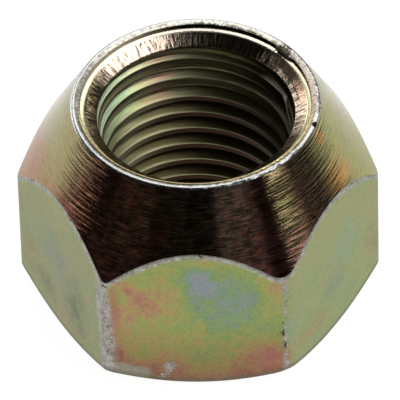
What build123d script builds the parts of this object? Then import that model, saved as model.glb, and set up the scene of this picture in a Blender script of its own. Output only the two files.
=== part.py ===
# A wheel nut: a hexagon nut with a conical seat at one end, forged and turned in one piece.
# Millimetres. +Z is the axis and points out of the seat end. Z = 0 is the flat base face.
# The hexagon has corners on the X axis, so one of its flats faces -Y.

import os
from math import cos, radians, tan

from build123d import *

os.makedirs("parts", exist_ok=True)

# Hexagon
side_count = 6
across_flats = 21.8
corner_radius = 0.8
height = 16.5

# Conical seat, which centres the wheel, and the narrow rim at its small end
seat_angle = 60.0
rim_diameter = 17.0
rim_edge_radius = 0.3

# The rim's flat face ends at a shallow step, where the mouth of the bore starts
rim_face_width = 0.6
mouth_step_depth = 0.38
mouth_countersink_angle = 114.0

# Bore: an M14 x 1.5 thread, drawn as a plain wall at the diameter of its crests. Below the
# countersink the wall narrows in a slight bell, which cuts down the crests of the first turns.
bore_diameter = 12.6
bell_width = 0.5
bell_angle = 15.4
base_countersink_width = 1.1
base_countersink_angle = 90.0

# Base: a turned chamfer leaves a round bearing face, whose edge lies a little inside the flats
base_face_inset = 0.55
base_chamfer_slope = 33.0

# The worn edge between each flat and the two turned cones
flat_edge_radius = 0.6

# The turned outline runs out past the hexagon's sharp corners, where nothing of it is left
outline_margin = 1.0
outline_radius = across_flats / 2 / cos(radians(180 / side_count)) + outline_margin

rim_radius = rim_diameter / 2
mouth_radius = rim_radius - rim_face_width
bore_radius = bore_diameter / 2
bell_radius = bore_radius + bell_width
base_mouth_radius = bore_radius + base_countersink_width
base_face_radius = across_flats / 2 - base_face_inset

# Heights along the axis. The angle of a seat or a countersink is the full angle of its cone.
seat_foot_height = height - (outline_radius - rim_radius) / tan(radians(seat_angle / 2))
chamfer_top_height = (outline_radius - base_face_radius) * tan(radians(base_chamfer_slope))
mouth_height = height - mouth_step_depth
bell_top_height = mouth_height - (mouth_radius - bell_radius) / tan(radians(mouth_countersink_angle / 2))
bell_foot_height = bell_top_height - bell_width / tan(radians(bell_angle / 2))
bore_foot_height = base_countersink_width / tan(radians(base_countersink_angle / 2))

with BuildPart() as wheel_nut:
    # The section that the lathe leaves, from the bore's foot out over the base, seat and rim
    with BuildSketch(Plane.XZ) as turned_section:
        with BuildLine():
            Polyline(
                (bore_radius, bore_foot_height),
                (base_mouth_radius, 0),
                (base_face_radius, 0),
                (outline_radius, chamfer_top_height),
                (outline_radius, seat_foot_height),
                (rim_radius, height),
                (mouth_radius, height),
                (mouth_radius, mouth_height),
                (bell_radius, bell_top_height),
                (bore_radius, bell_foot_height),
                close=True,
            )
        make_face()
        rim_corner = turned_section.vertices().group_by(Axis.Y)[-1].sort_by(Axis.X)[-1]
        fillet(rim_corner, rim_edge_radius)
    revolve(axis=Axis.Z)

    # The forged hexagon, with its upright edges rounded
    with BuildSketch(Plane.XY) as hexagon:
        RegularPolygon(across_flats / 2, side_count, major_radius=False)
        fillet(hexagon.vertices(), corner_radius)
    extrude(amount=height, mode=Mode.INTERSECT)

    # The curved edges where the hexagon meets the seat above and the chamfer below
    turned_edges = wheel_nut.edges(Select.LAST).filter_by(GeomType.LINE, reverse=True)
    fillet(turned_edges, flat_edge_radius)

wheel_nut.part.label = "wheel_nut"
export_step(wheel_nut.part, "parts/wheel_nut.step")
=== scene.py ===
# %% [markdown]
# # A plated wheel nut
# This lesson dresses one small piece of hardware: the nut that holds a road wheel on its stud.
# It is forged and turned from one piece of steel, so it is also one piece here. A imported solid
# model is the frame. The dressed nut is in metres in that frame, and stays inside its box.

# %% Load the frame
from math import cos, degrees, hypot, pi, radians, sin, tan

import bmesh
import bpy
from mathutils import Matrix, Vector


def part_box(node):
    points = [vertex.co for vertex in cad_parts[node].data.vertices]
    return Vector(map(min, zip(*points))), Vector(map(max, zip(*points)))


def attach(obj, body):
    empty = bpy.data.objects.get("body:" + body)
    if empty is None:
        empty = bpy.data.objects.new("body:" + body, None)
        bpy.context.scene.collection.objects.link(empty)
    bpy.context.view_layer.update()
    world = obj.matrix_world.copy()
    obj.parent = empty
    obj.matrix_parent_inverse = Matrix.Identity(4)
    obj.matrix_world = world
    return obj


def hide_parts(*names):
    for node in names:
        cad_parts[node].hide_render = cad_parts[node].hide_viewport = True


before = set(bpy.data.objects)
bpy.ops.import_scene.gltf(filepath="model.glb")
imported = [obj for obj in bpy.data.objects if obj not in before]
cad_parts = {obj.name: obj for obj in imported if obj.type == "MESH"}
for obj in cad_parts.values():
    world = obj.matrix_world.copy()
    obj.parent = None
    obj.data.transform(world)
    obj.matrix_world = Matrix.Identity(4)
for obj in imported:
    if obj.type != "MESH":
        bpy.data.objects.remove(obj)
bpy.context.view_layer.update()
low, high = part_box("wheel_nut")
print("solid box from", list(low), "to", list(high))

# %% [markdown]
# ## Sizes
# The nut is modelled in millimetres, a thousand times too big, and scaled down at the end,
# because Blender's merging distances suit bigger things. The overall sizes come from the
# frame. The rest are the sizes that a drawing of such a nut would give.

# %% Overall sizes, in millimetres
MM = 0.001
height = high[2] / MM
across_flats = (high[1] - low[1]) / MM
across_corners = (high[0] - low[0]) / MM
flat_distance = across_flats / 2
corner_distance = flat_distance / cos(radians(30))
corner_radius = (corner_distance - across_corners / 2) / (1 / cos(radians(30)) - 1)
print(f"height {height:.2f}, flats {across_flats:.2f}, corner radius {corner_radius:.2f}")

# %% Turned sizes, in millimetres
seat_slope = tan(radians(60))
rim_radius = 8.5
rim_edge_width = 0.17
ring_inner_radius = 7.94
ring_dip = 0.07
step_radius = 7.9
step_depth = 0.40
ledge_radius = 7.69
ledge_dip = 0.07
mouth_radius = 7.63
mouth_depth = 0.52
mouth_slope = tan(radians(33))
lead_in_radius = 6.8
lead_in_foot = 11.7
base_face_radius = flat_distance - 0.44
base_slope = tan(radians(33))
bore_radius = 6.3
base_mouth_radius = 7.4


def countersink_height(radius):
    return height - mouth_depth - (mouth_radius - radius) * mouth_slope


print(f"the countersink ends {countersink_height(lead_in_radius):.2f} above the base")

# %% [markdown]
# ## Choosing what a step works on
# An operator acts on whatever is selected. So each step first deselects everything, and then
# chooses one piece or opens it for editing. Faces are counted after an update, because a mesh
# that is open for editing still shows its old count.

# %% Choose one piece
def deselect_everything():
    if bpy.context.object and bpy.context.object.mode != "OBJECT":
        bpy.ops.object.mode_set(mode="OBJECT")
    bpy.ops.object.select_all(action="DESELECT")


def only(piece):
    deselect_everything()
    piece.select_set(True)
    bpy.context.view_layer.objects.active = piece


def edit(piece):
    only(piece)
    bpy.ops.object.mode_set(mode="EDIT")
    bpy.ops.mesh.select_all(action="DESELECT")


def leave_edit():
    bpy.ops.object.mode_set(mode="OBJECT")


def merge_everything(distance):
    bpy.ops.mesh.select_all(action="SELECT")
    bpy.ops.mesh.remove_doubles(threshold=distance)


def face_count(piece):
    piece.update_from_editmode()
    return len(piece.data.polygons)


# %% [markdown]
# ## The turned blank
# A lathe gives the nut its seat, rim, countersinks and base chamfer. Cutting these cones one
# by one from a cylinder would work too, but a section spun once round the axis gives them all
# at once, bore and all, with edges that meet exactly. No flat is on the blank yet.

# %% A profile drawn point by point
def draw_profile(name, points):
    deselect_everything()
    first_radius, first_height = points[0]
    bpy.ops.mesh.primitive_plane_add(size=1, location=(first_radius, 0, first_height))
    profile = bpy.context.object
    profile.name = name
    bpy.ops.object.mode_set(mode="EDIT")
    bpy.ops.mesh.select_mode(type="VERT")
    bpy.ops.mesh.select_all(action="SELECT")
    bpy.ops.mesh.merge(type="CENTER")
    for (r0, z0), (r1, z1) in zip(points, points[1:]):
        bpy.ops.mesh.extrude_region_move(TRANSFORM_OT_translate={"value": (r1 - r0, 0, z1 - z0)})
    leave_edit()
    bpy.ops.object.transform_apply(location=True, rotation=True, scale=True)
    return profile


# %% Spin the turned blank
outline_margin = 1
turned_steps = 192
same_point = 0.001

outline_radius = corner_distance + outline_margin
blank_section = [
    (bore_radius, base_mouth_radius - bore_radius),
    (base_mouth_radius, 0),
    (base_face_radius, 0),
    (outline_radius, (outline_radius - base_face_radius) * base_slope),
    (outline_radius, height - (outline_radius - rim_radius) * seat_slope),
    (rim_radius, height),
    (ring_inner_radius, height - ring_dip),
    (step_radius, height - step_depth),
    (ledge_radius, height - step_depth - ledge_dip),
    (mouth_radius, height - mouth_depth),
    (lead_in_radius, countersink_height(lead_in_radius)),
    (bore_radius, lead_in_foot),
]
nut = draw_profile("nut_body", blank_section + blank_section[:1])
edit(nut)
bpy.ops.mesh.select_all(action="SELECT")
bpy.ops.mesh.spin(steps=turned_steps, angle=2 * pi, center=(0, 0, 0), axis=(0, 0, 1))
merge_everything(same_point)
bpy.ops.mesh.normals_make_consistent(inside=False)
print("blank faces", face_count(nut))

# %% [markdown]
# ## Turned edges
# No turned edge is quite sharp. A bevel modifier would round all of them alike, so each edge
# is found by its radius and height instead, which still works when a size changes, and gets
# its own width.

# %% Pick faces or edges by where they lie
def pick(piece, kind, wanted):
    bpy.ops.mesh.select_all(action="DESELECT")
    bpy.ops.mesh.select_mode(type=kind)
    mesh = bmesh.from_edit_mesh(piece.data)
    items = mesh.edges if kind == "EDGE" else mesh.faces
    count = 0
    for item in items:
        if wanted(item):
            item.select_set(True)
            count += 1
    mesh.select_flush_mode()
    bmesh.update_edit_mesh(piece.data)
    return count


def radius_of(point):
    return hypot(point.x, point.y)


# %% Round the turned edges
touching = 0.002


def on_ring(radius, level):
    return lambda edge: all(
        abs(radius_of(v.co) - radius) < touching and abs(v.co.z - level) < touching
        for v in edge.verts
    )


turned_edges = [
    (rim_radius, height, rim_edge_width, 5),
    (ring_inner_radius, height - ring_dip, 0.04, 2),
    (ledge_radius, height - step_depth - ledge_dip, 0.03, 2),
    (lead_in_radius, countersink_height(lead_in_radius), 0.06, 2),
    (base_face_radius, 0, 0.15, 3),
    (base_mouth_radius, 0, 0.08, 2),
]
for radius, level, width, segments in turned_edges:
    found = pick(nut, "EDGE", on_ring(radius, level))
    bpy.ops.mesh.bevel(offset=width, segments=segments, affect="EDGES")
    print(f"edge ring at radius {radius:.2f}: {found} edges rounded by {width}")
leave_edit()

# %% [markdown]
# ## The hexagon
# The flats come from a hexagonal die or bar. So a six-sided cylinder is made, its upright
# edges are bevelled round, and the blank keeps only what lies inside it. Six cuts would do it
# too, but one tool keeps the flats alike. The upright edge at the front right is worn down
# more than the others.

# %% Modifiers and cuts
def apply_modifier(piece, kind, **settings):
    only(piece)
    bpy.ops.object.modifier_add(type=kind)
    modifier = piece.modifiers[-1]
    for name, value in settings.items():
        setattr(modifier, name, value)
    bpy.ops.object.modifier_apply(modifier=modifier.name)


def cut(piece, tool, operation):
    apply_modifier(piece, "BOOLEAN", operation=operation, solver="EXACT", object=tool)
    bpy.data.objects.remove(tool)


# %% Keep what lies inside the hexagon
worn_corner_radius = 1.9

deselect_everything()
bpy.ops.mesh.primitive_cylinder_add(
    vertices=6, radius=corner_distance, depth=height + 2, location=(0, 0, height / 2),
    rotation=(0, 0, radians(30)),
)
hexagon = bpy.context.object
bpy.ops.object.transform_apply(location=True, rotation=True, scale=True)
edit(hexagon)


def upright_edge(worn_down):
    def wanted(edge):
        first, second = (v.co for v in edge.verts)
        at_front_right = first.x > 1 and first.y < -1
        return abs(first.z - second.z) > height and at_front_right == worn_down
    return wanted


for worn_down, radius, segments in ((False, corner_radius, 6), (True, worn_corner_radius, 10)):
    found = pick(hexagon, "EDGE", upright_edge(worn_down))
    bpy.ops.mesh.bevel(offset=radius * tan(radians(30)), segments=segments, affect="EDGES")
    print(f"{found} upright edges at radius {radius:.2f}")
leave_edit()
cut(nut, hexagon, "INTERSECT")
print("faces with the flats on", face_count(nut))

# %% [markdown]
# ## Worn edges round the flats
# Each flat meets the seat above and the base chamfer below in a curved edge, which handling
# has softened. These edges aren't rings, so they are picked as the ones between a flat and
# any other face. A cut leaves points close together, which are merged before the bevel, and
# so are those that the bevel leaves almost on top of each other.

# %% Pick the edges round each flat
def middle_radius(face):
    return radius_of(face.calc_center_median())


def is_side(face):
    return abs(face.normal.z) < 0.02 and middle_radius(face) > flat_distance - 0.2


def side_edge(above):
    def wanted(edge):
        if len(edge.link_faces) != 2:
            return False
        sides = [is_side(face) for face in edge.link_faces]
        middle = (edge.verts[0].co.z + edge.verts[1].co.z) / 2
        return sides[0] != sides[1] and (middle > height / 2) == above
    return wanted


# %% Wear down the edges round each flat
upper_wear, lower_wear = 0.12, 0.16
left_by_the_cut, left_by_the_bevel = 0.01, 0.03

edit(nut)
merge_everything(left_by_the_cut)
for above, width in ((True, upper_wear), (False, lower_wear)):
    found = pick(nut, "EDGE", side_edge(above))
    bpy.ops.mesh.bevel(offset=width, segments=3, affect="EDGES", clamp_overlap=False)
    print("edges round the flats", "above" if above else "below", found)
pick(nut, "FACE", lambda face: middle_radius(face) > rim_radius + 0.3)
bpy.ops.mesh.remove_doubles(threshold=left_by_the_bevel)
leave_edit()
print("faces with the near doubles joined", face_count(nut))

# %% [markdown]
# ## The thread
# A tap cuts the thread into the bore. A helical pattern in the material would look flat here,
# because the bore is wide open. So the tool has the shape of that tap: a ridge of 60 degrees,
# wound by the Screw modifier, trimmed flat at both ends, and taken out of the nut. The wall is
# left between the grooves as the thread's flat crests, and the lead-in cuts down the first.

# %% Thread sizes, in millimetres
pitch = 1.5
root_radius = 7.0
root_width = pitch / 8
crest_height_at_back = 7.72
flank = tan(radians(30))
crest_width = pitch - root_width - 2 * (root_radius - bore_radius) * flank
lead_in_height = countersink_height(lead_in_radius) - lead_in_foot
lead_in_slope = (lead_in_radius - bore_radius) / lead_in_height
print(f"crests {crest_width:.2f} wide")


def ridge_half_width(radius):
    return root_width / 2 + (root_radius - radius) * flank


# %% Draw the tap's section
crest_wear = 0.08
tap_inside_bore = 0.15
root_rounding = 0.13
worn_radius = bore_radius + crest_wear
inner_radius = bore_radius - tap_inside_bore
rounded_radius = root_radius - root_rounding
crest_half_width = ridge_half_width(worn_radius)
foot_half_width = crest_half_width + 0.2

start = crest_height_at_back - pitch / 4 - (pitch / 2 + ridge_half_width(bore_radius))
start -= pitch * (int(start / pitch) + 2)
ridge_middle = start + pitch / 2
half_section = [
    (inner_radius, foot_half_width),
    (worn_radius, crest_half_width),
    (rounded_radius, ridge_half_width(rounded_radius)),
    (root_radius - 0.03, 0.10),
]
ridge = [(radius, ridge_middle - half) for radius, half in half_section]
ridge.append((root_radius, ridge_middle))
ridge += [(radius, ridge_middle + half) for radius, half in reversed(half_section)]
ridge.append((inner_radius, ridge_middle - foot_half_width + pitch))
tap = draw_profile("tap", ridge)
print("points in the tap's section", len(ridge))

# %% Wind the tap
wound_steps = 128
wound_point = 0.0005
turns = int((height - start) / pitch) + 3
apply_modifier(
    tap, "SCREW", axis="Z", angle=2 * pi, screw_offset=pitch, iterations=turns,
    steps=wound_steps, render_steps=wound_steps, use_merge_vertices=True,
    merge_threshold=wound_point, use_normal_calculate=True,
)
edit(tap)
merge_everything(wound_point)
print("faces of the wound tap", face_count(tap))

# %% Trim the tap and cut the thread
tap_overrun = 0.7
for level, trimmed in ((-tap_overrun, "below"), (height + tap_overrun, "above")):
    bpy.ops.mesh.select_all(action="SELECT")
    bpy.ops.mesh.bisect(
        plane_co=(0, 0, level), plane_no=(0, 0, 1), use_fill=True,
        clear_inner=trimmed == "below", clear_outer=trimmed == "above",
    )
bpy.ops.mesh.select_all(action="SELECT")
bpy.ops.mesh.normals_make_consistent(inside=False)
leave_edit()
tap_heights = [v.co.z for v in tap.data.vertices]
print(f"tap from {min(tap_heights):.2f} to {max(tap_heights):.2f}")
cut(nut, tap, "DIFFERENCE")
print("faces with the thread cut", face_count(nut))

# %% [markdown]
# ## A knock on the rim
# Something has struck the rim and folded a little of its ring in over the ledge. Sculpting
# would be freer, but a few points pushed inwards and down, with their neighbours following,
# give the same burr each time.

# %% Fold in a burr
burr_from, burr_to = 7.88, 8.02
burr_band = 0.2
burr_spread = 0.35


def knock(piece, turn, reach, inwards, down):
    middle = Vector((cos(radians(turn)), sin(radians(turn)), 0))
    edit(piece)
    bpy.ops.mesh.select_mode(type="VERT")
    mesh = bmesh.from_edit_mesh(piece.data)
    moved = 0
    for vert in mesh.verts:
        flat = Vector((vert.co.x, vert.co.y, 0))
        near = flat.length > 1 and degrees(flat.angle(middle)) < reach
        chosen = near and vert.co.z > height - burr_band and burr_from < flat.length < burr_to
        vert.select_set(chosen)
        moved += chosen
    bmesh.update_edit_mesh(piece.data)
    push = -inwards * middle
    bpy.ops.transform.translate(
        value=(push.x, push.y, -down), use_proportional_edit=True,
        proportional_edit_falloff="SMOOTH", proportional_size=burr_spread,
    )
    leave_edit()
    print(f"burr at {turn} degrees: {moved} points pushed")


knock(nut, turn=42, reach=3.5, inwards=0.2, down=0.16)
knock(nut, turn=36, reach=2.0, inwards=0.14, down=0.24)

# %% [markdown]
# ## Faces by finish
# The real nut shows five finishes: forged flats, a turned seat, a battered rim, a countersink
# and a thread. Painting them by hand would be slow, so each face gets its own by its place.

# %% Which finish a face has
FLATS, SEAT, RIM, MOUTH, THREAD = range(5)
rim_band = 0.6
seat_normal = 0.45


def finish_of(centre, normal):
    radius = radius_of(centre)
    if radius < root_radius + 0.02 and centre.z < countersink_height(radius) - 0.05:
        return THREAD
    if radius < mouth_radius and centre.z > height / 2:
        return MOUTH
    if radius < rim_radius + 0.1 and centre.z > height - rim_band:
        return RIM
    if normal.z > seat_normal:
        return SEAT
    return FLATS


counts = [0] * 5
for polygon in nut.data.polygons:
    counts[finish_of(polygon.center, polygon.normal)] += 1
print("faces of the flats, seat, rim, countersink and thread", counts)

# %% [markdown]
# ## Shader sums as plain Python
# A finish here is a formula of where a point is. Wrapping a socket in a small class lets the
# formula be written with plus and times signs, and adds the Math nodes behind it. Colours are
# written as a screen shows them, made linear for the shader, and go through Mix nodes, because
# a Math node would turn them grey.

# %% A value in a material
class Value:
    def __init__(self, finish, socket):
        self.finish = finish
        self.socket = socket

    def math(self, operation, *others):
        return self.finish.node("ShaderNodeMath", {"operation": operation}, [self, *others])

    def reflected(self, operation, other):
        return self.finish.node("ShaderNodeMath", {"operation": operation}, [other, self])

    def __add__(self, other):
        return self.math("ADD", other)

    __radd__ = __add__

    def __mul__(self, other):
        return self.math("MULTIPLY", other)

    __rmul__ = __mul__

    def __neg__(self):
        return self.math("MULTIPLY", -1.0)

    def __sub__(self, other):
        return self.math("SUBTRACT", other)

    def __rsub__(self, other):
        return self.reflected("SUBTRACT", other)

    def __truediv__(self, other):
        return self.math("DIVIDE", other)

    def __rtruediv__(self, other):
        return self.reflected("DIVIDE", other)

    def __pow__(self, other):
        return self.math("POWER", other)

    def __rpow__(self, other):
        return self.reflected("POWER", other)


# %% A colour as a screen shows it
def linear(part):
    return part / 12.92 if part <= 0.04045 else ((part + 0.055) / 1.055) ** 2.4


def as_colour(tone):
    if isinstance(tone, tuple) and len(tone) == 3:
        return (*map(linear, tone), 1.0)
    return tone


print("mid grey on a screen is", round(linear(0.5), 3), "in the shader")

# %% [markdown]
# ## A finish and its nodes
# Every node of a material is made by one method, which sets its settings first and then its
# values and links. The few shapes that all finishes use stand on it: a noise, a soft rise or
# fall between two limits, a mix, a ramp and a bump.

# %% A material that is built from formulas
class Finish:
    def __init__(self, name):
        self.material = bpy.data.materials.new(name)
        self.material.use_nodes = True
        self.tree = self.material.node_tree
        self.shader = self.tree.nodes["Principled BSDF"]

    def node(self, kind, settings, inputs, output=0):
        made = self.tree.nodes.new(kind)
        for name, setting in settings.items():
            if name == "stops":
                self.set_stops(made.color_ramp, setting)
            else:
                setattr(made, name, setting)
        pairs = inputs.items() if isinstance(inputs, dict) else enumerate(inputs)
        for key, value in pairs:
            self.feed(made.inputs[key], value)
        if isinstance(output, tuple):
            return [Value(self, made.outputs[name]) for name in output]
        return Value(self, made.outputs[output])

    def feed(self, socket, value):
        if isinstance(value, Value):
            self.tree.links.new(value.socket, socket)
        else:
            socket.default_value = value

    def set_stops(self, ramp, stops):
        while len(ramp.elements) < len(stops):
            ramp.elements.new(0.5)
        for element, (position, tone) in zip(ramp.elements, stops):
            element.position = position
            element.color = as_colour(tone)

    def set(self, **sockets):
        for name, value in sockets.items():
            self.feed(self.shader.inputs[name.replace("_", " ").title()], value)
        print(self.material.name, "has", len(self.tree.nodes), "nodes")
        return self.material

    def noise(self, point, scale, detail, roughness):
        settings = {"noise_dimensions": "3D"}
        values = {"Vector": point, "Scale": scale, "Detail": detail, "Roughness": roughness}
        return self.node("ShaderNodeTexNoise", settings, values)

    def rise(self, value, low, high):
        settings = {"interpolation_type": "SMOOTHSTEP"}
        return self.node("ShaderNodeMapRange", settings, {0: value, 1: low, 2: high})

    def fall(self, value, low, high):
        return 1 - self.rise(value, low, high)

    def mix(self, amount, first, second):
        inputs = {0: amount, 6: as_colour(first), 7: as_colour(second)}
        return self.node("ShaderNodeMix", {"data_type": "RGBA"}, inputs, output=2)

    def ramp(self, stops, value):
        return self.node("ShaderNodeValToRGB", {"stops": stops}, [value])

    def bump(self, relief, distance, strength):
        inputs = {"Height": relief, "Distance": distance, "Strength": strength}
        return self.node("ShaderNodeBump", {}, inputs)


# %% [markdown]
# ## Places on the nut
# All finishes ask the same questions: how high, how far out, which way round, and how near
# the closest edge. The answers are worked out once for each finish, in millimetres, from the
# object's own coordinates, so a pattern stays on the nut whatever looks at it.

# %% The places that every finish reads
class Places:
    def __init__(self, finish):
        self.finish = finish
        metres = finish.node("ShaderNodeTexCoord", {}, {}, output="Object")
        self.point = self.vector("SCALE", {"Vector": metres, "Scale": 1 / MM})
        axes = ("X", "Y", "Z")
        self.x, self.y, self.z = finish.node("ShaderNodeSeparateXYZ", {}, [self.point], axes)
        self.radius = (self.x * self.x + self.y * self.y) ** 0.5
        self.turn = self.y.math("ARCTAN2", self.x)
        sector = (self.turn / (pi / 3)).math("FRACT") - 0.5
        along = self.radius * (sector * (pi / 3)).math("SINE")
        self.to_corner = flat_distance * tan(radians(30)) - along.math("ABSOLUTE")
        self.under_seat = height - (self.radius - rim_radius) * seat_slope - self.z
        self.over_base = self.z - (self.radius - base_face_radius) * base_slope

    def vector(self, operation, inputs, output=0):
        settings = {"operation": operation}
        return self.finish.node("ShaderNodeVectorMath", settings, inputs, output)

    def noise(self, scale, detail=2.0, roughness=0.5):
        return self.finish.noise(self.point, scale, detail, roughness)

    def uneven(self, scale, detail=2.0, roughness=0.5):
        return self.noise(scale, detail, roughness) - 0.5

    def stretched(self, x, y, z, detail, roughness):
        place = self.finish.node("ShaderNodeCombineXYZ", {}, [x, y, z])
        return self.finish.noise(place, 1.0, detail, roughness)

    def streaks(self, around, up, offset, detail, roughness):
        return self.stretched(self.turn * around, offset, self.z * up, detail, roughness)

    def arc(self, start, full, fade, end):
        start, full, fade, end = map(radians, (start, full, fade, end))
        return self.finish.rise(self.turn, start, full) * self.finish.fall(self.turn, fade, end)

    def warped(self, scale, amount):
        values = {"Vector": self.point, "Scale": scale, "Detail": 4.0, "Roughness": 0.7}
        cloud = self.finish.node("ShaderNodeTexNoise", {}, values, output=1)
        shift = self.vector("SUBTRACT", [cloud, (0.5, 0.5, 0.5)])
        shift = self.vector("SCALE", {"Vector": shift, "Scale": amount})
        return self.vector("ADD", [self.point, shift])

    def spot(self, centre, size, point=None):
        offset = self.vector("SUBTRACT", [point or self.point, centre])
        distance = self.vector("LENGTH", [self.vector("DIVIDE", [offset, size])], output=1)
        return self.finish.fall(distance, 0.0, 1.0)

    def front_spot(self, x, z, wide, deep, tall, point=None):
        return self.spot((x, -flat_distance, z), (wide, deep, tall), point)


# %% [markdown]
# ## Forged flats
# Yellow chromate on zinc is a thin film, and its thickness gives its colour: reddish where it
# is thin, then olive and green, and blue-grey where it is thickest. Clouds of fixed colours
# would miss the order in which the colours meet. So the front flat is drawn as a thickness,
# with clouds, drips and thin edges, and one ramp turns it into colour.

# %% Film thickness on the flats
FILM_COLOURS = [
    (0.00, (0.64, 0.43, 0.36)),
    (0.16, (0.69, 0.52, 0.41)),
    (0.32, (0.67, 0.60, 0.39)),
    (0.48, (0.61, 0.63, 0.37)),
    (0.64, (0.54, 0.62, 0.39)),
    (0.80, (0.51, 0.60, 0.49)),
    (1.00, (0.56, 0.59, 0.60)),
]

# Where the front flat's film is thicker or thinner: across and up, its size, and how much
FILM_PATCHES = [
    (0.3, 10.0, 2.4, 2.2, 0.44),
    (2.4, 8.0, 4.4, 3.4, 0.36),
    (1.6, 5.8, 4.0, 1.8, 0.14),
    (5.0, 7.2, 1.2, 2.6, -0.06),
    (-5.2, 8.3, 1.0, 1.0, 0.30),
    (1.35, 10.3, 0.8, 0.5, -0.35),
    (-3.6, 7.8, 3.2, 3.2, -0.24),
    (-1.6, 9.2, 2.0, 2.2, -0.16),
    (-4.6, 9.0, 1.4, 1.4, -0.2),
    (4.5, 3.4, 2.6, 1.8, -0.28),
    (1.2, 2.8, 2.2, 1.1, 0.12),
    (5.2, 9.4, 1.0, 1.4, -0.14),
]


def film_thickness(finish, at, front):
    thickness = 0.47 + at.uneven(0.16) * 0.4 + at.uneven(0.6) * 0.4
    thickness += at.uneven(1.5, 5.0, 0.75) * 0.9
    ragged = at.uneven(0.7, 4.0, 0.75) * 3.2
    thickness -= front * finish.fall(at.over_base + ragged, 0.1, 3.0) * 0.42
    thickness -= front * finish.fall(at.x + ragged, -6.0, -4.2) * 0.2
    warped = at.warped(0.9, 1.6)
    for x, z, wide, tall, amount in FILM_PATCHES:
        thickness += at.front_spot(x, z, wide, 3.0, tall, warped) * amount
    return thickness


print("patches of film on the front flat", len(FILM_PATCHES))

# %% [markdown]
# ## Stains on the flats
# The front flat is browner towards its foot and rosy in two places, and its left toe is worn
# pale. The flats beside it are greyer and mirror the room, so they only get soft stains, whose
# outlines a little noise in their coordinates makes uneven.

# %% Stains on the flats
GREY, STRAW = (0.52, 0.56, 0.51), (0.66, 0.63, 0.45)
TAN_BROWN, TEAL = (0.58, 0.51, 0.38), (0.56, 0.64, 0.53)

# Each stain's middle and size, its colour, and how strong it is
SIDE_STAINS = [
    ((-9.8, -4.8, 7.0), (3.6, 3.6, 3.0), GREY, 0.7),
    ((-9.1, -6.0, 4.3), (2.6, 2.6, 2.4), GREY, 0.5),
    ((-9.6, -5.1, 11.0), (2.4, 2.4, 1.9), STRAW, 0.6),
    ((-11.6, -1.8, 4.0), (1.8, 2.4, 2.8), TAN_BROWN, 0.5),
    ((-12.2, -0.8, 11.0), (1.4, 2.0, 3.4), STRAW, 0.7),
    ((-8.0, -7.2, 3.6), (2.4, 2.4, 4.4), (0.44, 0.46, 0.34), 0.8),
    ((-10.6, -3.6, 2.8), (2.6, 2.6, 1.8), (0.50, 0.50, 0.38), 0.7),
    ((10.2, -4.2, 7.0), (3.2, 3.2, 2.8), TEAL, 0.6),
    ((9.5, -5.4, 4.4), (2.4, 2.4, 2.0), GREY, 0.5),
    ((10.2, -4.2, 10.7), (2.8, 2.8, 1.9), STRAW, 0.6),
    ((12.0, -1.0, 4.2), (1.6, 2.0, 3.2), TAN_BROWN, 0.5),
    ((7.8, -8.3, 2.9), (3.2, 3.4, 1.3), (0.66, 0.55, 0.35), 0.8),
    ((6.6, -10.4, 5.0), (1.2, 1.4, 2.6), TEAL, 0.6),
]


def stain_front(finish, at, tone, front):
    low_down = front * finish.fall(at.over_base, 0.5, 6.0)
    tone = finish.mix(low_down * 0.45, tone, (0.42, 0.29, 0.17))
    rosy = at.front_spot(5.2, 2.4, 2.0, 2.0, 1.8) + at.front_spot(-5.6, 7.0, 0.7, 2.0, 4.2)
    tone = finish.mix(rosy * 0.7, tone, (0.66, 0.42, 0.38))
    worn_toe = at.front_spot(-5.0, 1.2, 2.8, 3.0, 1.5, at.warped(0.9, 1.6))
    return finish.mix(finish.rise(worn_toe, 0.1, 0.5) * 0.75, tone, (0.60, 0.61, 0.54))


def stain_sides(finish, at, tone, left, right):
    tone = finish.mix(left * 0.45, tone, (0.57, 0.58, 0.49))
    tone = finish.mix(right * 0.4, tone, (0.61, 0.66, 0.50))
    patchy = finish.rise(at.noise(0.9, 3.0, 0.6), 0.35, 0.65)
    drifted = at.warped(0.5, 2.4)
    for centre, size, tint, amount in SIDE_STAINS:
        stain = at.spot(centre, size, drifted) * amount * (0.4 + patchy * 0.9)
        tone = finish.mix(stain, tone, tint)
    return tone


print("stains on the flats beside the front one", len(SIDE_STAINS))

# %% [markdown]
# ## Rubbed edges and pits
# Handling has rubbed the plating off along the curved and upright edges, and chipped it near
# the front flat's foot. Geometry's Pointiness could find the edges, but it is only as fine as
# the mesh. So bare metal shows where a point is nearer to an edge than a ragged limit, which
# is widest along the left upright edge of the front flat.

# %% Rubbed edges and pits
# Each pit's place across and up the front flat, and its size
CORNER_PITS = [(5.9, 4.9, 0.22, 0.36), (6.05, 3.7, 0.16, 0.5), (6.0, 5.8, 0.13, 0.2)]


def rubbed_off(finish, at, front, left, ragged):
    left_edge = at.front_spot(-6.3, 6.0, 4.0, 4.0, 14.0)
    high_up = finish.rise(at.z, 2.0, 9.5)
    reach = 0.35 + left_edge * (front * (0.7 - high_up * 0.6) + left * (0.45 + high_up * 0.9))
    corner = finish.fall((at.to_corner + ragged) / reach, 0.4, 1.2)
    arc = finish.fall(at.under_seat + ragged * 0.45, 0.12, 0.48 + left_edge * 0.2)
    chips = at.front_spot(-1.9, 1.9, 0.9, 2.0, 1.0) + at.front_spot(-2.3, 1.0, 1.6, 2.0, 0.7) * 0.7
    scraped = finish.rise(chips + at.uneven(3.5, 3.0, 0.7) * 1.6, 0.55, 0.75)
    return corner.math("MAXIMUM", arc).math("MAXIMUM", scraped)


def bare_metal(finish, lumps, specks):
    bare = finish.mix(finish.rise(lumps, 0.35, 0.65), (0.52, 0.50, 0.47), (0.70, 0.70, 0.68))
    return finish.mix(finish.rise(specks, 0.50, 0.66) * 0.6, bare, (0.86, 0.86, 0.85))


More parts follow.
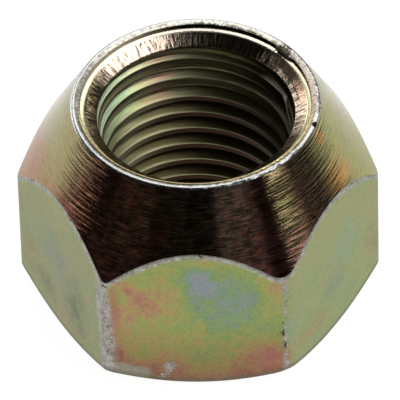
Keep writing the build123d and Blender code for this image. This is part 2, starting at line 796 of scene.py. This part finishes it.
def corner_pits(finish, at, rubbed):
    pits = finish.rise(at.noise(3.2), 0.66, 0.72) * finish.rise(rubbed, 0.3, 0.8)
    torn = at.warped(2.0, 1.0)
    for x, z, wide, tall in CORNER_PITS:
        pit = at.front_spot(x, z, wide, 0.6, tall, torn)
        pits = pits.math("MAXIMUM", finish.rise(pit, 0.1, 0.4))
    return pits


# %% Forged flats
def make_flats():
    finish = Finish("plated_flats")
    at = Places(finish)
    front = finish.fall(at.y, -flat_distance + 0.1, -flat_distance + 0.7)
    left = (1 - front) * finish.fall(at.x, -1.0, 1.0)
    right = (1 - front) * finish.rise(at.x, -1.0, 1.0)
    tone = finish.ramp(FILM_COLOURS, film_thickness(finish, at, front))
    tone = stain_front(finish, at, tone, front)
    tone = stain_sides(finish, at, tone, left, right)
    grain = at.noise(5.0, 3.0, 0.7)
    fleck = at.noise(9.0, 2.0, 0.6)
    tone = finish.mix(finish.rise(grain, 0.48, 0.72) * 0.3, tone, (0.44, 0.44, 0.35))
    tone = finish.mix(finish.rise(fleck, 0.54, 0.74) * 0.4, tone, (0.76, 0.76, 0.64))

    ragged = at.uneven(0.45, 3.0, 0.6) * 0.7 + at.uneven(2.4, 4.0, 0.8) * 1.1
    rubbed = rubbed_off(finish, at, front, left, ragged)
    lumps = at.noise(2.0, 4.0, 0.75)
    specks = at.noise(6.0, 3.0, 0.75)
    pits = corner_pits(finish, at, rubbed)
    tone = finish.mix(rubbed * 0.85, tone, bare_metal(finish, lumps, specks))
    tone = finish.mix(pits * 0.85, tone, (0.12, 0.11, 0.10))

    # Painted shade: the turned edge under each flat is painted darker, as it looks mirroring the
    # floor in the nut's shadow
    foot = finish.fall(at.over_base + ragged * 0.25, 0.20, 0.6)
    tone = finish.mix(foot * 0.6, tone, (0.40, 0.41, 0.35))
    relief = grain * 0.5 + lumps * rubbed * 1.2 + specks * rubbed * 0.6 - pits * 2.0
    return finish.set(
        base_color=tone, roughness=0.42 + grain * 0.14, metallic=1.0,
        normal=finish.bump(relief, 0.02 * MM, 0.8),
    )


flats_material = make_flats()

# %% [markdown]
# ## Turned seat
# The tool leaves fine rings round the cone. Real rings would need millions of faces, so they
# are a bump. Each ring tilts the mirror a little, and the seat flickers between bright and
# black wherever a lamp's edge is reflected. The film on the cone is uneven, too: burnt brown
# and blotched at the front, olive at the sides. In a narrow band at the right, where the
# front card is reflected, a painted gold highlight lies in strokes with painted shade between
# them, and the cone beside it is painted dark as painted shade.

# %% Film on the seat
SEAT_FILM = [
    (0.25, (0.52, 0.33, 0.28)),
    (0.42, (0.66, 0.52, 0.42)),
    (0.55, (0.60, 0.54, 0.38)),
    (0.72, (0.56, 0.58, 0.42)),
]
FRONT_FILM = [
    (0.08, (0.50, 0.30, 0.25)),
    (0.32, (0.46, 0.29, 0.22)),
    (0.43, (0.46, 0.44, 0.32)),
    (0.55, (0.20, 0.22, 0.17)),
    (0.66, (0.46, 0.42, 0.36)),
    (0.86, (0.50, 0.28, 0.30)),
]
# Colours of the painted gold highlight where the front card is reflected
GOLD_HIGHLIGHT_COLOURS = [
    (0.14, (0.78, 0.56, 0.52)),
    (0.36, (0.88, 0.70, 0.56)),
    (0.60, (0.80, 0.76, 0.50)),
    (0.84, (0.94, 0.84, 0.60)),
]


def seat_film(finish, at, smears, broken):
    tone = finish.ramp(SEAT_FILM, smears * 0.9 + (broken - 0.5) * 0.5)
    tone = finish.mix(finish.rise(at.x, 4.5, 9.0) * 0.75, tone, (0.58, 0.60, 0.36))
    high_up = finish.rise(at.z + (smears - 0.5) * 4.0, 11.5, 14.5)
    left_tone = finish.mix(high_up, (0.64, 0.49, 0.38), (0.60, 0.59, 0.40))
    return finish.mix(finish.fall(at.x, -9.5, -4.5) * 0.8, tone, left_tone)


def burnt_front(finish, at, tone, where, smears, broken):
    across = (at.x + 7.0) / 14.0 + (smears - 0.5) * 0.35 + (broken - 0.5) * 0.3
    tone = finish.mix(where * 0.85, tone, finish.ramp(FRONT_FILM, across))
    burnt = finish.rise(at.streaks(6.0, 0.5, 1.0, 4.0, 0.75), 0.42, 0.56)
    tone = finish.mix(burnt * where * 0.5, tone, (0.12, 0.12, 0.09))
    blotches = at.streaks(11.0, 2.2, 4.0, 5.0, 0.8)
    reddened = finish.fall(blotches, 0.38, 0.48)
    tone = finish.mix(reddened * where * 0.6, tone, (0.72, 0.44, 0.38))
    blackened = finish.rise(blotches, 0.50, 0.58)
    tone = finish.mix(blackened * where * 0.6, tone, (0.10, 0.10, 0.08))
    scored = finish.rise(at.streaks(7.0, 10.0, 5.0, 3.0, 0.75), 0.5, 0.68)
    return finish.mix(scored * where * 0.6, tone, (0.86, 0.70, 0.56))


def paint_gold_highlight(finish, at, tone, gold, smears):
    up_the_cone = (at.z - 10.5) / 6.0 + (smears - 0.5) * 0.6
    strokes = finish.rise(at.streaks(4.0, 7.0, 7.0, 2.0, 0.6), 0.43, 0.55)
    tone = finish.mix(gold * strokes * 0.85, tone, finish.ramp(GOLD_HIGHLIGHT_COLOURS, up_the_cone))
    # Painted shade between the highlight's strokes
    return finish.mix(gold * (1 - strokes) * 0.8, tone, (0.17, 0.16, 0.10))


# %% Turned seat with tool rings
def make_seat():
    finish = Finish("turned_seat")
    at = Places(finish)
    rings = at.streaks(1.6, 5.5, 0.0, 2.0, 0.5)
    broken = at.streaks(9.0, 7.0, 3.0, 3.0, 0.7)
    smears = at.streaks(3.0, 0.8, 9.0, 3.0, 0.6)
    dull = finish.rise(broken, 0.45, 0.7)
    ahead = finish.rise(-at.y, 4.0, 7.0)
    # Where the front card is reflected on the right: a painted gold highlight
    gold = at.arc(-59, -56, -53, -42)
    tone = seat_film(finish, at, smears, broken)
    tone = finish.mix(dull * 0.35, tone, (0.30, 0.24, 0.18))
    tone = burnt_front(finish, at, tone, ahead * (1 - gold), smears, broken)
    # Painted shade: the cone beside the gold highlight is painted dark
    painted_shade_beside_highlight = at.arc(-57, -42, -34, -20)
    tone = finish.mix(painted_shade_beside_highlight * (0.7 + dull * 0.3), tone, (0.18, 0.16, 0.10))
    tone = paint_gold_highlight(finish, at, tone, gold, smears)
    rust = at.spot((9.8, -3.6, 12.9), (2.4, 2.4, 2.2)) * finish.rise(smears, 0.3, 0.6)
    tone = finish.mix(rust * 0.8, tone, (0.78, 0.55, 0.32))
    under_nick = at.spot((8.55, -2.75, 15.8), (0.8, 0.8, 0.9))
    tone = finish.mix(under_nick * 0.8, tone, (0.80, 0.56, 0.30))

    # The rings are deepest beside the front, and worn smooth at the far sides
    clockwise = -at.turn
    side = finish.fall(clockwise, radians(54), radians(61))
    side += finish.rise(clockwise, radians(128), radians(150))
    smooth = finish.rise(at.x.math("ABSOLUTE"), 7.8, 9.8)
    depth = (0.25 + side * 1.15) * (1 - smooth * 0.75)
    scribbles = at.streaks(16.0, 5.0, 11.0, 5.0, 0.8) * at.arc(-60, -52, -38, -22)
    relief = (rings * 0.9 + broken * 0.45) * depth + scribbles * 0.6
    return finish.set(
        base_color=tone, roughness=0.10 + broken * 0.08, metallic=1.0,
        normal=finish.bump(relief, 0.05 * MM, 0.9),
    )


seat_material = make_seat()

# %% [markdown]
# ## Rim
# The rim touches everything first, so it is battered down to bare metal. It is a flat ring
# with a step and a bright ledge inside it. Its outer edge is a pale band, partly worn metal
# and partly a painted highlight. On the near side the ring is painted darker as painted
# shade, with a painted bluish reflection over its outer rounding, a painted shade line across
# it and a gold painted highlight along its inner edge. The step's wall is painted dark as
# painted shade, with painted light at the left. The far side is darker in ragged patches
# beside the step, and one nick is painted almost black, as painted shade in the dent. All of
# these follow radius and height, so they are masks on those and not faces of their own.

# %% The ring's metal
def ring_metal(finish, at, mottle, scuffs, far):
    tone = finish.mix(finish.rise(mottle, 0.36, 0.6), (0.50, 0.48, 0.43), (0.90, 0.89, 0.84))
    scuffed = finish.fall(at.x, -8.0, -1.0) * (1 - far * 0.7) * (0.35 + scuffs * 0.8)
    tone = finish.mix(scuffed, tone, (0.42, 0.41, 0.37))
    tone = finish.mix(finish.rise(at.x, 3.0, 8.0) * 0.7, tone, (0.70, 0.62, 0.55))
    return finish.mix(far * 0.2, tone, (0.90, 0.89, 0.84))


def outer_edge(finish, at, tone, mottle, scuffs):
    # The pale band along the outer edge is partly worn metal and partly a painted highlight
    outer = finish.rise(at.radius, rim_radius - 0.22, rim_radius - 0.14)
    tone = finish.mix(outer * (0.4 + scuffs * 0.5), tone, (0.97, 0.98, 0.98))
    dulled = outer * finish.rise(at.x, 4.5, 6.5) * finish.rise(at.y, -1.6, -0.4)
    dulled *= finish.rise(mottle, 0.42, 0.54)
    return finish.mix(dulled * 0.85, tone, (0.34, 0.35, 0.36))


def near_side(finish, at, tone, mottle, battered):
    # Painted shade: the ring's near side is painted darker
    near = finish.rise(-at.y, 1.5, 5.5)
    tone = finish.mix(near * 0.4, tone, (0.55, 0.55, 0.53))
    nearer = finish.rise(-at.y, 0.0, 3.0)
    wavering = at.radius + (mottle - 0.5) * 0.3
    inside = finish.fall(wavering, 8.16, 8.28)
    # Painted shade: a dark line across the ring on the near side
    tone = finish.mix(nearer * inside * 0.85, tone, (0.26, 0.22, 0.14))
    # Painted highlight: a gold line along the ring's inner edge on the near side
    wider_at_right = finish.rise(at.x, -1.0, 4.0) * 0.07
    painted_highlight_line = finish.fall(at.radius - wider_at_right, 8.04, 8.09)
    tone = finish.mix(nearer * painted_highlight_line, tone, (1.0, 0.92, 0.66))
    # Painted reflection: the outer rounding on the near side is painted bluish dark
    nibbled = at.uneven(1.1, 3.0, 0.7) * 0.35
    under = finish.rise(wavering + nibbled * (1 + battered * 1.5), 8.46, 8.52)
    return finish.mix(near * under * 0.85, tone, (0.20, 0.21, 0.26))


def dark_nick_and_patches(finish, at, tone, far):
    # Painted shade: the nick is painted almost black, for the shade in the dent
    nick = at.spot((8.3, -2.25, height), (0.55, 0.45, 0.6))
    tone = finish.mix(finish.rise(nick, 0.1, 0.5), tone, (0.10, 0.09, 0.08))
    # Darker in ragged patches beside the step at the far right
    beside_wall = finish.fall(at.radius, ring_inner_radius + 0.10, ring_inner_radius + 0.34)
    dark_beside_step = finish.rise(at.noise(2.6, 4.0, 0.8) + beside_wall * 0.14, 0.58, 0.62)
    dark_beside_step *= beside_wall * far * finish.rise(at.x, -2.0, 0.0)
    return finish.mix(dark_beside_step * 0.85, tone, (0.16, 0.15, 0.11))


# %% Rim
def make_rim():
    finish = Finish("worn_rim")
    at = Places(finish)
    mottle = at.noise(3.0, 4.0, 0.75)
    scuffs = at.stretched(at.turn * 30.0, at.radius * 2.0, 0.0, 2.0, 0.6)
    far = finish.rise(at.y, 2.0, 6.0)
    battered = at.spot((5.0, -6.5, height), (6.0, 4.5, 3.0))
    tone = ring_metal(finish, at, mottle, scuffs, far)
    pits = finish.rise(at.noise(5.0), 0.60, 0.68) * (1 - far * 0.6)
    tone = finish.mix(pits * 0.6, tone, (0.30, 0.28, 0.24))
    tone = outer_edge(finish, at, tone, mottle, scuffs)

    # The step's wall is painted dark as painted shade, apart from painted light at the left, where
    # it is also less metallic
    ledge_height = height - step_depth
    ledge = finish.fall(at.z, ledge_height + 0.01, ledge_height + 0.05)
    wall = finish.fall(at.radius, ring_inner_radius - 0.01, ring_inner_radius + 0.03)
    wall *= (1 - ledge) * finish.fall(at.z, height - 0.12, height - 0.08)
    painted_light_on_left_wall = wall * finish.fall(at.x, -5.5, -0.5)
    wall_painted_shade_and_light = finish.mix(painted_light_on_left_wall, (0.20, 0.17, 0.13), (0.95, 0.89, 0.78))
    tone = finish.mix(wall, tone, wall_painted_shade_and_light)
    tone = near_side(finish, at, tone, mottle, battered)
    tone = dark_nick_and_patches(finish, at, tone, far)
    tone = finish.mix(ledge, tone, finish.mix(far, (1.0, 0.97, 0.80), (1.0, 0.97, 0.88)))
    burr = at.spot((5.9, 5.25, height - 0.2), (1.3, 1.1, 0.9))
    torn = finish.rise(burr + at.uneven(4.5, 3.0, 0.7) * 2.4, 0.35, 0.60)
    tone = finish.mix(torn * finish.rise(burr, 0.0, 0.3) * 0.9, tone, (0.16, 0.15, 0.10))
    lumps = at.noise(1.6) * (0.6 + battered * 7.0)
    relief = (mottle - pits) * (1 - ledge) * 0.5 + lumps
    return finish.set(
        base_color=tone, roughness=0.22 + mottle * 0.12, metallic=1 - painted_light_on_left_wall * 0.9,
        normal=finish.bump(relief, 0.03 * MM, 0.8),
    )


rim_material = make_rim()

# %% [markdown]
# ## Countersink
# The countersink's tool chattered, which left marks that point at the axis. Cutting each one
# would need thousands of faces. Noise that changes fast round the axis and slowly along the
# radius gives such marks, as colour and as bump. The back and the left are painted dark as
# painted shade, and the marks shine between them.

# %% Countersink
def make_mouth():
    finish = Finish("chattered_countersink")
    at = Places(finish)
    marks = at.stretched(at.turn * 38.0, at.radius * 0.8, 0.0, 3.0, 0.75)
    broad = at.stretched(at.turn * 5.0, at.radius * 0.4, 5.0, 2.0, 0.5)
    tone = finish.mix(finish.rise(marks, 0.36, 0.56), (0.34, 0.31, 0.24), (0.98, 0.88, 0.78))
    # Painted shade at the back
    back = at.spot((2.5, 7.4, 15.7), (6.8, 3.4, 3.0))
    painted_shade_back = finish.rise(back + (0.5 - marks) * 1.3, 0.1, 0.4)
    tone = finish.mix(painted_shade_back * 0.87, tone, (0.18, 0.19, 0.14))
    tone = finish.mix(finish.rise(-at.y, 0.5, 3.5) * 0.75, tone, (0.38, 0.30, 0.18))
    # Painted shade at the left
    painted_shade_left = at.spot((-7.2, 1.1, 15.7), (3.0, 3.4, 3.0))
    painted_shade_left = finish.rise(painted_shade_left + (marks - 0.5) * 0.6, 0.1, 0.6)
    tone = finish.mix(painted_shade_left * 0.85, tone, (0.17, 0.17, 0.12))
    at_left = finish.fall(at.x, -7.3, -6.2)
    tone = finish.mix(at_left * finish.rise(marks, 0.48, 0.56) * 0.65, tone, (1.0, 0.90, 0.68))
    tone = finish.mix(at_left * finish.fall(marks, 0.40, 0.48) * 0.7, tone, (0.14, 0.15, 0.10))
    shining = finish.rise(at.spot((-4.6, 5.6, 15.7), (4.6, 3.4, 3.0)), 0.05, 0.5)
    shining *= finish.rise(marks, 0.40, 0.50)
    tone = finish.mix(shining * 0.6, tone, (1.0, 0.88, 0.82))
    smooth = at.spot((7.0, 3.2, 15.8), (2.2, 4.2, 3.0)) * finish.rise(at.radius, 7.0, 7.3)
    smooth = finish.rise(smooth, 0.05, 0.5)
    tone = finish.mix(smooth * 0.75, tone, (0.80, 0.66, 0.54))
    relief = marks * (0.5 + at_left * 0.9) * (1 - smooth * 0.7) + broad * 0.9
    return finish.set(
        base_color=tone, roughness=0.17 + marks * 0.1, metallic=1.0,
        normal=finish.bump(relief, 0.12 * MM, 0.8),
    )


mouth_material = make_mouth()

# %% [markdown]
# ## Thread
# The thread is painted darker deep in the bore, down in the grooves and on its right wall, as
# painted shade, and its crests are painted dark as painted reflection. It is bright with
# green, straw and pink on the first flanks at the left, with painted light on the crests there
# and painted highlights along the crests' upper edges and on the first turn. Crests and edges
# can't be told by height alone, because the thread climbs. So the finish works out where a
# point lies in its own pitch, and from that how far below its crest's upper edge it is.

# %% Film on the thread
THREAD_FILM = [
    (0.10, (0.56, 0.66, 0.58)),
    (0.28, (0.74, 0.86, 0.66)),
    (0.46, (0.90, 0.88, 0.64)),
    (0.66, (0.92, 0.74, 0.64)),
    (0.85, (0.78, 0.78, 0.62)),
]


def thread_film(finish, at, shallow, streaks, lines):
    patches = at.streaks(1.6, 0.5, 0.0, 2.0, 0.5)
    across = (at.x + 7.4) / 7.0 + (lines - 0.5) * 0.7 + (patches - 0.5) * 0.3
    tone = finish.mix(shallow, (0.66, 0.66, 0.50), finish.ramp(THREAD_FILM, across))
    streaky = finish.rise(streaks, 0.42, 0.7) * (1 - shallow * 0.5)
    tone = finish.mix(streaky * 0.5, tone, (0.42, 0.36, 0.25))
    # Painted shade: darker deep in the bore
    tone = finish.mix(finish.fall(at.z, 3.0, 12.0) * 0.65, tone, (0.44, 0.40, 0.26))
    # Painted shade: darker on the bore's right wall
    shaded_right_side = finish.rise(at.x, -6.0, -3.0) * (1 - shallow * 0.6)
    tone = finish.mix(shaded_right_side * 0.65, tone, (0.34, 0.28, 0.17))
    # Painted shade: darker down in the grooves
    painted_shade_in_grooves = finish.rise(at.radius, bore_radius + 0.1, root_radius - 0.1)
    tone = finish.mix(painted_shade_in_grooves * (1 - shallow * 0.8) * 0.65, tone, (0.20, 0.16, 0.10))
    # Painted highlight on the first turn at the left
    painted_first_turn_highlight = finish.rise(at.z, 12.6, 13.6) * finish.fall(at.x, -5.0, -2.0)
    tone = finish.mix(painted_first_turn_highlight * 0.3, tone, (0.92, 0.98, 0.86))
    # Painted shade: the right of the bore is darker again
    return finish.mix(finish.rise(at.x, -1.0, 4.0) * 0.6, tone, (0.20, 0.14, 0.09))


# %% The first crest, rolled over at the right: painted shade, and a shining painted highlight along its edge
def rolled_edge(finish, at, tone, lines):
    rolled = finish.rise(at.x, 3.0, 5.0) * finish.rise(at.z, 12.9, 13.2)
    rolled *= finish.rise(at.y, -2.0, -0.5)
    # Painted shade over the first crest at the right
    tone = finish.mix(rolled * 0.6, tone, (0.12, 0.08, 0.06))
    edge_height = 13.50 + finish.rise(at.turn, 0.22, 0.50) * 0.80
    off_edge = (at.z - edge_height + (lines - 0.5) * 0.1).math("ABSOLUTE")
    shining = finish.fall(off_edge, 0.07, 0.13) * rolled
    shining *= finish.rise(at.x, 4.2, 5.4) * finish.rise(at.y, 0.3, 0.9)
    return finish.mix(shining, tone, (1.0, 0.92, 0.88)), shining


# %% Thread
def make_thread():
    finish = Finish("cut_thread")
    at = Places(finish)
    climb = (at.z - crest_height_at_back) / pitch - (at.turn - pi / 2) / (2 * pi)
    in_pitch = climb.math("FRACT")
    streaks = at.stretched(at.turn * 3.0, at.radius * 5.0, in_pitch * 9.0, 3.0, 0.65)
    lines = at.stretched(at.turn * 1.2, 2.0, in_pitch * 15.0, 3.0, 0.7)
    shallow = finish.rise(at.z, 9.6, 12.6)
    tone = thread_film(finish, at, shallow, streaks, lines)

    # On a crest, how far below its upper edge; on the flank above it, how far behind it
    wall_radius = bore_radius + (at.z - lead_in_foot).math("MAXIMUM", 0.0) * lead_in_slope
    behind_wall = at.radius - wall_radius
    below_edge = crest_width + (at.radius - bore_radius) * flank - in_pitch * pitch
    from_edge = below_edge.math("MAXIMUM", behind_wall)
    crest = finish.rise(below_edge, 0.03, 0.09) * finish.fall(behind_wall, 0.02, 0.1)
    shaded_right_side = finish.rise(at.x, -5.0, -1.0)
    # Painted reflection: the crests are painted dark, more so on the right
    painted_crest_shade = crest * (0.5 - shallow * 0.3 + shaded_right_side * 0.6)
    tone = finish.mix(painted_crest_shade, tone, (0.19, 0.13, 0.08))
    # Painted light: the crests towards the mouth at the left are painted bright
    painted_light_on_crests = crest * finish.rise(below_edge, 0.15, 0.50) * shallow * (1 - shaded_right_side)
    painted_crest_light_tone = finish.mix(lines, (0.46, 0.60, 0.42), (0.98, 0.82, 0.64))
    tone = finish.mix(painted_light_on_crests * 0.9, tone, painted_crest_light_tone)
    # Painted highlight along each crest's upper edge, stronger at the left
    painted_edge_highlight = finish.fall(from_edge, 0.04, 0.12)
    lit = finish.fall(at.x, -3.0, 5.0)
    tone = finish.mix(painted_edge_highlight * (0.1 + lit * 0.45), tone, (0.76, 0.76, 0.60))
    tone, shining = rolled_edge(finish, at, tone, lines)
    cut_back = finish.rise(at.z, 12.6, 13.2)
    relief = streaks * 0.03 + finish.rise(from_edge, 0.0, 0.2) * cut_back * 0.012
    return finish.set(
        base_color=tone, roughness=0.38, metallic=1 - shining * 0.9 - painted_light_on_crests * 0.7,
        normal=finish.bump(relief, 1.0 * MM, 1.0),
    )


thread_material = make_thread()

# %% [markdown]
# ## Giving out the finishes
# The materials go into the mesh's slots first, because a face can only name a slot that is
# already there. Their order is the order of the finishes' numbers.

# %% Give the faces their finishes
for material in (flats_material, seat_material, rim_material, mouth_material, thread_material):
    nut.data.materials.append(material)
for polygon in nut.data.polygons:
    polygon.material_index = finish_of(polygon.center, polygon.normal)
for index, material in enumerate(nut.data.materials):
    print(material.name, sum(polygon.material_index == index for polygon in nut.data.polygons))

# %% [markdown]
# ## Down to its real size
# The mesh is scaled to metres and the scale is applied, so the object itself stays unscaled,
# as the solid's nodes are.
# Smooth shading stops at the sharp edges, and weighted normals keep the big flats flat.

# %% Scale, smooth and attach
only(nut)
nut.scale = (MM, MM, MM)
bpy.ops.object.transform_apply(location=True, rotation=True, scale=True)
bpy.ops.object.shade_smooth_by_angle(angle=radians(38))
apply_modifier(nut, "WEIGHTED_NORMAL", keep_sharp=True, weight=100)
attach(nut, "root")
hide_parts("wheel_nut")
print("triangles", sum(len(polygon.vertices) - 2 for polygon in nut.data.polygons))

# %% [markdown]
# ## Floor
# The nut stands on a plain white sweep. Making the floor white with more light would burn out
# the nut. So the camera, and metal that mirrors the floor, see it glowing white, while for
# all other light it is plain grey card, which keeps the nut's shadow.

# %% Floor
deselect_everything()
floor_left, floor_right, floor_depth = -1.5, 0.12, 3.0
bpy.ops.mesh.primitive_plane_add(size=1, location=((floor_left + floor_right) / 2, 0, 0))
floor = bpy.context.object
floor.name = "studio_floor"
floor.scale = (floor_right - floor_left, floor_depth, 1)
bpy.ops.object.transform_apply(location=True, rotation=True, scale=True)


def plain(level):
    return (level, level, level, 1)


def make_floor():
    finish = Finish("white_sweep")
    rays = ("Is Camera Ray", "Is Glossy Ray", "Is Transmission Ray")
    camera_ray, glossy_ray, clear_ray = finish.node("ShaderNodeLightPath", {}, [], rays)
    seen = camera_ray.math("MAXIMUM", glossy_ray).math("MAXIMUM", clear_ray)
    return finish.set(
        base_color=finish.mix(seen, plain(0.8), plain(0.16)), roughness=1.0,
        emission_color=finish.mix(seen, plain(0), plain(0.96)), emission_strength=1.0,
    )


floor.data.materials.append(make_floor())

# %% [markdown]
# ## Lamps and the dim room
# A plated seat is a mirror, so it shows the lamps and the dark between them. Big soft boxes
# stand at the right, behind and at the left. A narrow card at the front right makes the seat's
# gold band, and two very dim panels stand for the room, so its front is nearly black. Each
# is placed by the direction it shines from, and its brightness is that of its surface.

# %% Lamps and the dim room
# Turn and rise in degrees, distance, width and depth in metres, and brightness
PANELS = [
    ("right_box", -14, 51, 0.4, 0.38, 0.16, 2.6),
    ("right_back_box", 44, 33, 0.4, 0.18, 0.14, 1.4),
    ("back_box", 90, 60, 0.4, 0.42, 0.38, 1.65),
    ("back_low_box", 90, 12, 0.5, 0.36, 0.13, 0.7),
    ("left_low_box", 139, 13, 0.4, 0.28, 0.11, 2.2),
    ("front_card", -22, 11, 0.4, 0.045, 0.12, 2.6),
    ("dim_wall", -61, 16, 0.6, 0.30, 0.24, 0.17),
    ("dim_corner", -136, 16, 0.6, 0.30, 0.24, 0.04),
]
lit_point = Vector((0, 0, 0.012))


def direction(turn, rise):
    turn, rise = radians(turn), radians(rise)
    return Vector((cos(turn) * cos(rise), sin(turn) * cos(rise), sin(rise)))


for name, turn, rise, distance, width, depth, brightness in PANELS:
    data = bpy.data.lights.new(name, "AREA")
    data.shape = "RECTANGLE"
    data.size, data.size_y = width, depth
    data.energy = brightness * pi * width * depth
    lamp = bpy.data.objects.new(name, data)
    bpy.context.scene.collection.objects.link(lamp)
    lamp.location = direction(turn, rise) * distance
    lamp.rotation_euler = (lit_point - lamp.location).to_track_quat("-Z", "Y").to_euler()
    print(f"{name} gives {data.energy:.3f} W")

world = bpy.data.worlds.new("dim_room")
bpy.context.scene.world = world
world.use_nodes = True
world.node_tree.nodes["Background"].inputs["Color"].default_value = plain(0.03)
world.node_tree.nodes["Background"].inputs["Strength"].default_value = 1.0

# %% [markdown]
# ## Camera
# The camera looks down at the nut from the front, from over half a metre away, so the far
# side is hardly smaller than the near one. Aiming it with a Track To constraint would put the
# nut in the middle. Here it is aimed by how many pixels the nut's axis lies from there, and
# rolled a little, as if held by hand.

# %% Camera
view_turn, view_elevation = 2.039, 43.779
view_roll = radians(1.668)
view_distance = 0.545
picture_width = 400
pixels_per_mm = 14.4953
pixels_right, pixels_down = 2.48, 27.16
aim_height = 9.81
view_width = picture_width / pixels_per_mm * MM
aim_right = pixels_right / pixels_per_mm * MM
aim_down = pixels_down / pixels_per_mm * MM
target = Vector((0, 0, aim_height * MM))

away = direction(view_turn - 90, view_elevation)
level = direction(view_turn, 0)
upright = away.cross(level)
right = level * cos(view_roll) - upright * sin(view_roll)
up = away.cross(right)
camera_data = bpy.data.cameras.new("photo_camera")
camera = bpy.data.objects.new("photo_camera", camera_data)
bpy.context.scene.collection.objects.link(camera)
camera.location = target + away * view_distance + right * aim_right - up * aim_down
camera.rotation_euler = Matrix((right, up, away)).transposed().to_euler()
camera_data.sensor_width = 36
camera_data.lens = camera_data.sensor_width * view_distance / view_width
camera_data.clip_start = 0.01
bpy.context.scene.camera = camera
bpy.context.scene.view_settings.view_transform = "Standard"
print("lens", round(camera_data.lens, 1))
